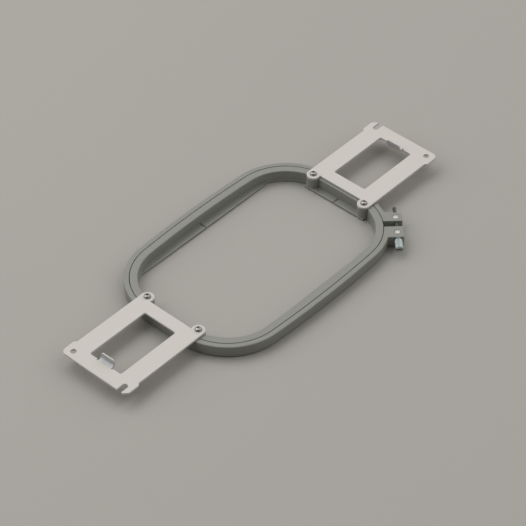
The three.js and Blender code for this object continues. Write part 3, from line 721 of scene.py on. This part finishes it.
def bracket(side, facing):
    """Bracket of one side: a flat plate with a window, a locating hole, two screw holes and a bent tongue.
    The left one is the right one turned by half a turn."""
    ear_x = SCREW_X - HALF_LENGTH
    round_holes = [
        ((PLATE_LENGTH - LOCATOR_INSET, -LOCATOR_Y), LOCATOR_RADIUS),
        ((ear_x, -SCREW_Y), SCREW_HOLE_RADIUS),
        ((ear_x, SCREW_Y), SCREW_HOLE_RADIUS),
    ]
    holes = [bracket_window()] + [arc(spot, size, 360, 0, HOLE_STEPS)[:-1] for spot, size in round_holes]
    outline, *holes = [(loop, PLATE_LIP) for loop in [bracket_outline(), *holes]]

    def settle(points):
        bent, bare = bend_tongue(points)
        return (bent + [HALF_LENGTH, 0, 0]) * [facing, facing, 1], bare

    name = f"bracket_plate_{side}"
    return flat_solid(name, PLATE_BOTTOM, PLATE_TOP, outline, holes, ribs=tongue_ribs, settle=settle)


# Screws and the clamp's hardware.
def thread(start, end, radius, steps):
    """Rows of a right-hand thread.
    The radius falls by the depth times a triangle wave of along / pitch - turn."""
    rows = int((end - start) / THREAD_PITCH * ROWS_PER_PITCH)
    along = np.linspace(start, end, rows)[:, None]
    turn = np.arange(steps) / steps
    wave = np.abs(2 * ((along / THREAD_PITCH - turn) % 1) - 1)
    return along, radius - THREAD_DEPTH * wave


def stacked(parts, steps):
    """Rows of several stretches of a turned piece, each (along, radius), as two whole grids."""
    grids = [np.broadcast_arrays(reach, size, np.empty((1, steps))) for reach, size in parts]
    return np.concatenate([grid[0] for grid in grids]), np.concatenate([grid[1] for grid in grids])


def cross_recess(x, y):
    """Share of the recess depth at a point of the crown: the deeper of two crossed, sloping arms."""
    def arm(run, aside):
        inside = np.minimum(RECESS_WIDTH / 2 - np.abs(aside), RECESS_SPAN / 2 - np.abs(run))
        return np.clip(inside / RECESS_SLOPE, 0, 1)
    return np.maximum(arm(x, y), arm(y, x))


def bracket_screw(name, x, y, driver_turn):
    """Pan-head screw: threaded shank, elliptic shoulder and a low dome with a cross recess sunk in it."""
    side_top = SCREW_SEAT + SCREW_HEAD_SIDE
    shoulder_z = SCREW_CROWN - SCREW_DOME
    shoulder = np.linspace(0, math.pi / 2, 2 * ROUND_STEPS)
    shoulder_radius = SCREW_CROWN_RADIUS + (SCREW_HEAD_RADIUS - SCREW_CROWN_RADIUS) * np.cos(shoulder)
    shoulder_height = side_top + (shoulder_z - side_top) * np.sin(shoulder)
    crown = np.linspace(1, 0, 4 * ROUND_STEPS)[1:, None]
    turn = np.linspace(0, 2 * math.pi, TURN_STEPS, endpoint=False) + driver_turn
    crown_radius = SCREW_CROWN_RADIUS * crown
    sunk = RECESS_DEPTH * cross_recess(crown_radius * np.cos(turn), crown_radius * np.sin(turn))
    along, radius = stacked([
        (column([SCREW_TIP, SCREW_TIP]), column([0, SCREW_RADIUS - TIP_CHAMFER])),
        thread(SCREW_TIP + TIP_CHAMFER, SCREW_SEAT, SCREW_RADIUS, TURN_STEPS),
        (column([SCREW_SEAT, SCREW_SEAT]), column([SCREW_RADIUS, SCREW_HEAD_RADIUS])),
        (column(shoulder_height), column(shoulder_radius)),
        (shoulder_z + SCREW_DOME * (1 - crown**2) - sunk, crown_radius),
    ], TURN_STEPS)
    return turned_piece(name, along, radius, np.array([x, y, 0]), np.array([0, 0, 1]), np.array([1, 0, 0]))


CLAMP_AXIS = np.append(CLAMP_ALONG, 0.0)
CLAMP_ACROSS = np.append(CLAMP_INWARD, 0.0)


def turned_along_clamp(name, along, radius, **settings):
    """Turned piece on the clamp's axis, with its reach counted along the screw from the clamp's origin."""
    return turned_piece(name, along, radius, clamp_point(0), CLAMP_AXIS, CLAMP_ACROSS, **settings)


def thumb_screw():
    """Thumb screw: slotted head with flutes that fade into its chamfers, and a threaded shank.
    On the head the radius falls by the flute depth times half of one less the cosine of the turn."""
    turn = np.linspace(0, 2 * math.pi, KNURL_STEPS, endpoint=False)
    flute = FLUTE_DEPTH * (1 - np.cos(FLUTES * turn)) / 2
    grip_start = HEAD_END + HEAD_CHAMFER
    grip_end = HEAD_INNER_FACE - HEAD_CHAMFER
    grip = np.linspace(grip_start, grip_end, ARC_STEPS)[:, None]
    neck = HEAD_RADIUS - HEAD_CHAMFER
    along, radius = stacked([
        (column([HEAD_END, HEAD_END]), column([0, neck])),
        (grip, HEAD_RADIUS - flute),
        (column([HEAD_INNER_FACE, HEAD_INNER_FACE]), column([neck, THREAD_RADIUS])),
        thread(HEAD_INNER_FACE, TIP_END - TIP_CHAMFER, THREAD_RADIUS, KNURL_STEPS),
        (column([TIP_END, TIP_END]), column([THREAD_RADIUS - TIP_CHAMFER, 0])),
    ], KNURL_STEPS)
    # The whole shank is marked for the dark thread colour, which is painted shade.
    screw = turned_along_clamp("thumb_screw", along, radius, bare=along > HEAD_INNER_FACE)
    wide = HEAD_RADIUS + OVERRUN
    corners = [(HEAD_END - OVERRUN, -wide), (HEAD_END + SLOT_DEPTH, -wide)]
    corners += [(HEAD_END + SLOT_DEPTH, wide), (HEAD_END - OVERRUN, wide)]
    low = CLAMP_AXIS_HEIGHT - SLOT_HALF
    high = CLAMP_AXIS_HEIGHT + SLOT_HALF
    return cut_from(screw, flat_solid("driver_slot", low, high, (clamp_plan(corners), SLOT_LIP)))


def clamp_washer():
    """Flat washer under the thumb screw's head, a closed section turned about the screw."""
    outer = WASHER_OUTER_FACE
    inner = outer + WASHER_THICKNESS
    along = [outer, outer, outer + WASHER_EDGE, inner - WASHER_EDGE, inner, inner]
    rim = WASHER_RADIUS - WASHER_EDGE
    radius = column([THREAD_BORE, rim, WASHER_RADIUS, WASHER_RADIUS, rim, THREAD_BORE])
    return turned_along_clamp("washer", column(along), radius * np.ones(TURN_STEPS), rows_close=True)


def barrel(name, place):
    """Barrel pin that stands in an ear, with broken edges, a low dome and a bore across it."""
    low = BARREL_FLOOR
    high = OUTER_TOP
    rim = BARREL_RADIUS - BARREL_CHAMFER
    dome = np.linspace(1, 0, ROUND_STEPS)
    dome_height = high + BARREL_DOME * (1 - dome**2)
    along = column([low, low, low + BARREL_CHAMFER, high - BARREL_CHAMFER, *dome_height])
    radius = column([0, rim, BARREL_RADIUS, BARREL_RADIUS, *(rim * dome)]) * np.ones(TURN_STEPS)
    pin = turned_piece(name, along, radius, clamp_point(place, 0, 0), np.array([0, 0, 1]), CLAMP_AXIS)
    reach = BARREL_RADIUS + OVERRUN
    bore_along = column([place - reach, place - reach, place + reach, place + reach])
    bore = column([0, 1, 1, 0]) * np.full(HOLE_STEPS - 1, THREAD_BORE)
    return cut_from(pin, turned_along_clamp("bore", bore_along, bore))


# Materials. The noise that the finishes use stays mostly between its low and its high value.
NOISE_LOW = 0.3
NOISE_HIGH = 0.7
GRAIN_DETAIL = 3.0
GRAIN_ROUGHNESS = 0.6
DRIFT_DETAIL = 4.0
GRAIN_IN_TONE = 0.3
PATCH_DETAIL = 3.0
PATCHES_PER_DRIFT = 4
# Least share of the edge lightening, partly wear and partly painted highlight, under the patch noise.
LEAST_EDGE_LIGHTENING = 0.35

# Colour sockets of a mix node.
MIX_FIRST = 6
MIX_SECOND = 7
MIX_RESULT = 2


def add_node(tree, kind, inputs=None, **settings):
    """Adds a node. Settings go to its properties, inputs to its sockets as links or plain values."""
    made = tree.nodes.new(kind)
    for key, value in settings.items():
        setattr(made, key, value)
    for socket, value in (inputs or {}).items():
        if isinstance(value, bpy.types.NodeSocket):
            tree.links.new(value, made.inputs[socket])
        else:
            made.inputs[socket].default_value = value
    return made


def new_group(name, inputs, outputs):
    """Empty shader node group with named sockets, and its input and output nodes."""
    tree = bpy.data.node_groups.new(name, "ShaderNodeTree")
    for socket, kind in inputs.items():
        tree.interface.new_socket(socket, in_out="INPUT", socket_type=kind)
    for socket, kind in outputs.items():
        tree.interface.new_socket(socket, in_out="OUTPUT", socket_type=kind)
    return tree, tree.nodes.new("NodeGroupInput"), tree.nodes.new("NodeGroupOutput")


def make_grain_group():
    """Grain of a finish: a fine height, and a tone that drifts slowly with a little of the grain in it."""
    inputs = {
        "Place": "NodeSocketVector",
        "Grain Scale": "NodeSocketFloat",
        "Drift Scale": "NodeSocketFloat",
    }
    outputs = {"Height": "NodeSocketFloat", "Tone": "NodeSocketFloat"}
    tree, given, out = new_group("finish_grain", inputs, outputs)
    fine = add_node(tree, "ShaderNodeTexNoise", {
        "Vector": given.outputs["Place"],
        "Scale": given.outputs["Grain Scale"],
        "Detail": GRAIN_DETAIL,
        "Roughness": GRAIN_ROUGHNESS,
    })
    slow = add_node(tree, "ShaderNodeTexNoise", {
        "Vector": given.outputs["Place"],
        "Scale": given.outputs["Drift Scale"],
        "Detail": DRIFT_DETAIL,
    })
    tone = add_node(tree, "ShaderNodeMix", {
        "Factor": GRAIN_IN_TONE,
        "A": slow.outputs["Fac"],
        "B": fine.outputs["Fac"],
    })
    tree.links.new(fine.outputs["Fac"], out.inputs["Height"])
    tree.links.new(tone.outputs["Result"], out.inputs["Tone"])
    return tree


def make_edge_wear_and_highlight_group():
    """Lighter rounded edges, partly wear and partly a painted highlight: the edge attribute, broken up by a
    patchy noise.
    """
    inputs = {"Place": "NodeSocketVector", "Edge": "NodeSocketFloat", "Patch Scale": "NodeSocketFloat",
              "Amount": "NodeSocketFloat"}
    tree, given, out = new_group("edge_wear_and_highlight", inputs, {"Mask": "NodeSocketFloat"})
    patch = add_node(tree, "ShaderNodeTexNoise", {
        "Vector": given.outputs["Place"],
        "Scale": given.outputs["Patch Scale"],
        "Detail": PATCH_DETAIL,
    })
    strength = add_node(tree, "ShaderNodeMapRange", {
        "Value": patch.outputs["Fac"],
        "From Min": NOISE_LOW,
        "From Max": NOISE_HIGH,
        "To Min": LEAST_EDGE_LIGHTENING,
        "To Max": 1.0,
    })
    on_edge = add_node(tree, "ShaderNodeMath", {0: given.outputs["Edge"], 1: strength.outputs["Result"]},
                       operation="MULTIPLY")
    mask = add_node(tree, "ShaderNodeMath", {0: on_edge.outputs["Value"], 1: given.outputs["Amount"]},
                    operation="MULTIPLY", use_clamp=True)
    tree.links.new(mask.outputs["Value"], out.inputs["Mask"])
    return tree


GRAIN_GROUP = make_grain_group()
EDGE_WEAR_AND_HIGHLIGHT_GROUP = make_edge_wear_and_highlight_group()


def finish_material(name, dark, light, worn_and_lit, wear_and_highlight, grain_scale, drift_scale, bump, rough, bare=None,
                    **shader):
    """Finish with grain, a drifting tone between two colours, and rounded edges made lighter, partly as
    wear and partly as a painted highlight.
    Roughness runs between two values with the tone, and the grain's height feeds a bump of that depth in
    metres. Where a second colour is given, it shows by the bare attribute: bare metal on the bracket
    tongue, painted shade on the thumb screw's shank."""
    material = bpy.data.materials.new(name)
    material.use_nodes = True
    tree = material.node_tree
    body = tree.nodes["Principled BSDF"]
    for socket, value in shader.items():
        body.inputs[socket.replace("_", " ").title().replace("Ior", "IOR")].default_value = value
    place = add_node(tree, "ShaderNodeTexCoord")
    grain = add_node(tree, "ShaderNodeGroup", node_tree=GRAIN_GROUP)
    tree.links.new(place.outputs["Object"], grain.inputs["Place"])
    grain.inputs["Grain Scale"].default_value = grain_scale
    grain.inputs["Drift Scale"].default_value = drift_scale
    edge = add_node(tree, "ShaderNodeAttribute", attribute_name="edge")
    edge_wear_and_light = add_node(tree, "ShaderNodeGroup", node_tree=EDGE_WEAR_AND_HIGHLIGHT_GROUP)
    tree.links.new(place.outputs["Object"], edge_wear_and_light.inputs["Place"])
    tree.links.new(edge.outputs["Fac"], edge_wear_and_light.inputs["Edge"])
    edge_wear_and_light.inputs["Patch Scale"].default_value = PATCHES_PER_DRIFT * drift_scale
    edge_wear_and_light.inputs["Amount"].default_value = wear_and_highlight
    base = add_node(tree, "ShaderNodeMix", data_type="RGBA")
    tree.links.new(grain.outputs["Tone"], base.inputs[0])
    base.inputs[MIX_FIRST].default_value = (*dark, 1)
    base.inputs[MIX_SECOND].default_value = (*light, 1)
    colour = add_node(tree, "ShaderNodeMix", data_type="RGBA")
    tree.links.new(edge_wear_and_light.outputs["Mask"], colour.inputs[0])
    tree.links.new(base.outputs[MIX_RESULT], colour.inputs[MIX_FIRST])
    colour.inputs[MIX_SECOND].default_value = (*worn_and_lit, 1)
    tree.links.new(colour.outputs[MIX_RESULT], body.inputs["Base Color"])
    if bare:
        bare_and_light_share = add_node(tree, "ShaderNodeAttribute", attribute_name="bare")
        show = add_node(tree, "ShaderNodeMix", data_type="RGBA")
        tree.links.new(bare_and_light_share.outputs["Fac"], show.inputs[0])
        tree.links.new(colour.outputs[MIX_RESULT], show.inputs[MIX_FIRST])
        show.inputs[MIX_SECOND].default_value = (*bare, 1)
        tree.links.new(show.outputs[MIX_RESULT], body.inputs["Base Color"])
        if "metallic" not in shader:
            sheen = add_node(tree, "ShaderNodeMath", {0: bare_and_light_share.outputs["Fac"], 1: BARE_SHEEN},
                             operation="MULTIPLY")
            tree.links.new(sheen.outputs["Value"], body.inputs["Metallic"])
    gloss = add_node(tree, "ShaderNodeMapRange", {
        "Value": grain.outputs["Tone"],
        "From Min": NOISE_LOW,
        "From Max": NOISE_HIGH,
        "To Min": rough[0],
        "To Max": rough[1],
    })
    tree.links.new(gloss.outputs["Result"], body.inputs["Roughness"])
    relief = add_node(tree, "ShaderNodeBump", {
        "Height": grain.outputs["Height"], "Distance": bump, "Strength": 1.0,
    })
    tree.links.new(relief.outputs["Normal"], body.inputs["Normal"])
    return material


BARE_STEEL = (0.46, 0.475, 0.477)
BARE_SHEEN = 0.38
# Dark colour of the thumb screw's shank: painted shade, for the thread sitting down in the split.
THREAD_PAINTED_SHADE = (0.20, 0.22, 0.216)
# Each finish's third colour and its amount lighten the rounded edges, partly as wear and partly as a
# painted highlight.
FINISHES = {
    "ring_plastic": finish_material(
        "grey_moulded_plastic", (0.205, 0.207, 0.179), (0.243, 0.245, 0.215), (0.30, 0.30, 0.275), 0.5,
        grain_scale=1400, drift_scale=35, bump=0.00003, rough=(0.42, 0.58)),
    "bracket_paint": finish_material(
        "warm_white_paint", (0.545, 0.516, 0.474), (0.590, 0.561, 0.522), (0.66, 0.64, 0.605), 0.6,
        grain_scale=700, drift_scale=22, bump=0.00002, rough=(0.46, 0.58), bare=BARE_STEEL,
        specular_ior_level=0.25),
    "zinc_hardware": finish_material(
        "bright_nickel_plate", (0.325, 0.313, 0.300), (0.405, 0.390, 0.374), (0.56, 0.55, 0.53), 0.6,
        grain_scale=1500, drift_scale=260, bump=0.000008, rough=(0.30, 0.44), metallic=1.0),
    "thumb_screw_zinc": finish_material(
        "blue_zinc_plate", (0.300, 0.345, 0.342), (0.395, 0.450, 0.445), (0.50, 0.56, 0.555), 0.6,
        grain_scale=1500, drift_scale=260, bump=0.000008, rough=(0.30, 0.44), bare=THREAD_PAINTED_SHADE,
        metallic=1.0),
    "bracket_screw_nickel": finish_material(
        "dark_nickel_plate", (0.235, 0.230, 0.221), (0.290, 0.284, 0.274), (0.42, 0.41, 0.395), 0.6,
        grain_scale=1500, drift_scale=260, bump=0.000004, rough=(0.14, 0.24), metallic=1.0),
}
OWN_FINISH = {"clamp_screw": "thumb_screw_zinc", "clamp_washer": "thumb_screw_zinc"}
for screw_node in ("screw_right_front", "screw_right_rear", "screw_left_front", "screw_left_rear"):
    OWN_FINISH[screw_node] = "bracket_screw_nickel"

BODY_OF = {node: body for body, nodes in frame["record"]["behaviour"]["bodies"].items() for node in nodes}
SLOT_OF = {part["node"]: part["material_slot"] for part in frame["record"]["subparts"]}


def dress(piece, node):
    """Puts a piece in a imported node's place: same body and slot, with its own finish where it has one."""
    piece.data.materials.clear()
    piece.data.materials.append(FINISHES[OWN_FINISH.get(node, SLOT_OF[node])])
    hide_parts(node)
    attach(piece, BODY_OF[node])


dress(inner_ring(), "inner_ring")
dress(outer_ring(), "outer_ring")
for side, facing in (("right", 1), ("left", -1)):
    dress(bracket(side, facing), f"bracket_{side}")
    for row, along_y in (("front", -1), ("rear", 1)):
        driver_turn = DRIVER_TURN + DRIVER_TURN_BY_SIDE * facing + DRIVER_TURN_BY_ROW * along_y
        screw = bracket_screw(f"pan_screw_{side}_{row}", facing * SCREW_X, along_y * SCREW_Y, driver_turn)
        dress(screw, f"screw_{side}_{row}")
dress(thumb_screw(), "clamp_screw")
dress(clamp_washer(), "clamp_washer")
dress(barrel("bush_pin", -BARREL_PLACE), "barrel_bush")
dress(barrel("nut_pin", BARREL_PLACE), "barrel_nut")


# Stage, light and camera.
FLOOR_HALF = 6.0
FLOOR_COLOUR = (0.381, 0.366, 0.337, 1)
FLOOR_ROUGHNESS = 0.9
FLOOR_SPECULAR = 0.1


def make_floor():
    """Plain pale grey floor under the rings."""
    corners = [(-FLOOR_HALF, -FLOOR_HALF, 0), (FLOOR_HALF, -FLOOR_HALF, 0)]
    corners += [(FLOOR_HALF, FLOOR_HALF, 0), (-FLOOR_HALF, FLOOR_HALF, 0)]
    mesh = bpy.data.meshes.new("floor")
    mesh.from_pydata(corners, [], [(0, 1, 2, 3)])
    paper = bpy.data.materials.new("pale_grey_paper")
    paper.use_nodes = True
    body = paper.node_tree.nodes["Principled BSDF"]
    body.inputs["Base Color"].default_value = FLOOR_COLOUR
    body.inputs["Roughness"].default_value = FLOOR_ROUGHNESS
    body.inputs["Specular IOR Level"].default_value = FLOOR_SPECULAR
    mesh.materials.append(paper)
    floor = bpy.data.objects.new("floor", mesh)
    bpy.context.scene.collection.objects.link(floor)


def add_softbox(name, spot, size, power):
    """Round soft light that faces the middle of the hoop."""
    lamp = bpy.data.lights.new(name, "AREA")
    lamp.shape = "DISK"
    lamp.size = size
    lamp.energy = power
    box = bpy.data.objects.new(name, lamp)
    box.location = spot
    box.rotation_euler = (-Vector(spot)).to_track_quat("-Z", "Y").to_euler()
    bpy.context.scene.collection.objects.link(box)


# Each softbox has its place and its diameter in metres, and its power in watts.
SOFTBOXES = {
    "right_softbox": ((5.578, 0.000, 4.679), 9.52, 207.8),
    "left_softbox": ((-1.195, 2.070, 2.005), 4.08, 71.6),
    "front_right_softbox": ((2.789, -4.830, 4.679), 9.52, 174.0),
    "back_softbox": ((2.292, 3.972, 6.309), 5.40, 159.3),
}
ROOM_LIGHT = 0.16


def light_scene():
    """Faint light all round, two broad softboxes on the right and in front, and two smaller ones behind."""
    world = bpy.data.worlds.new("studio")
    world.use_nodes = True
    world.node_tree.nodes["Background"].inputs["Color"].default_value = (1, 1, 1, 1)
    world.node_tree.nodes["Background"].inputs["Strength"].default_value = ROOM_LIGHT
    bpy.context.scene.world = world
    for name, (spot, size, power) in SOFTBOXES.items():
        add_softbox(name, spot, size, power)


CAMERA_TARGET = Vector((-9.63, -14.14, 13.3)) * MM
CAMERA_DISTANCE = 1819.7 * MM
CAMERA_AZIMUTH = math.radians(-47.98)
CAMERA_ELEVATION = math.radians(43.03)
CAMERA_LENS = 154.9
CAMERA_SENSOR = 36.0
CAMERA_CLIP_END = 50.0


def place_camera():
    """Camera at the photograph's angle: back from its target along the azimuth and elevation."""
    level = math.cos(CAMERA_ELEVATION)
    back = Vector((
        math.sin(CAMERA_AZIMUTH) * level,
        -math.cos(CAMERA_AZIMUTH) * level,
        math.sin(CAMERA_ELEVATION),
    ))
    lens = bpy.data.cameras.new("camera")
    lens.lens = CAMERA_LENS
    lens.sensor_width = CAMERA_SENSOR
    lens.clip_end = CAMERA_CLIP_END
    camera = bpy.data.objects.new("camera", lens)
    camera.location = CAMERA_TARGET + back * CAMERA_DISTANCE
    camera.rotation_euler = (-back).to_track_quat("-Z", "Y").to_euler()
    bpy.context.scene.collection.objects.link(camera)
    bpy.context.scene.camera = camera


make_floor()
light_scene()
place_camera()
bpy.context.scene.view_settings.view_transform = "Standard"
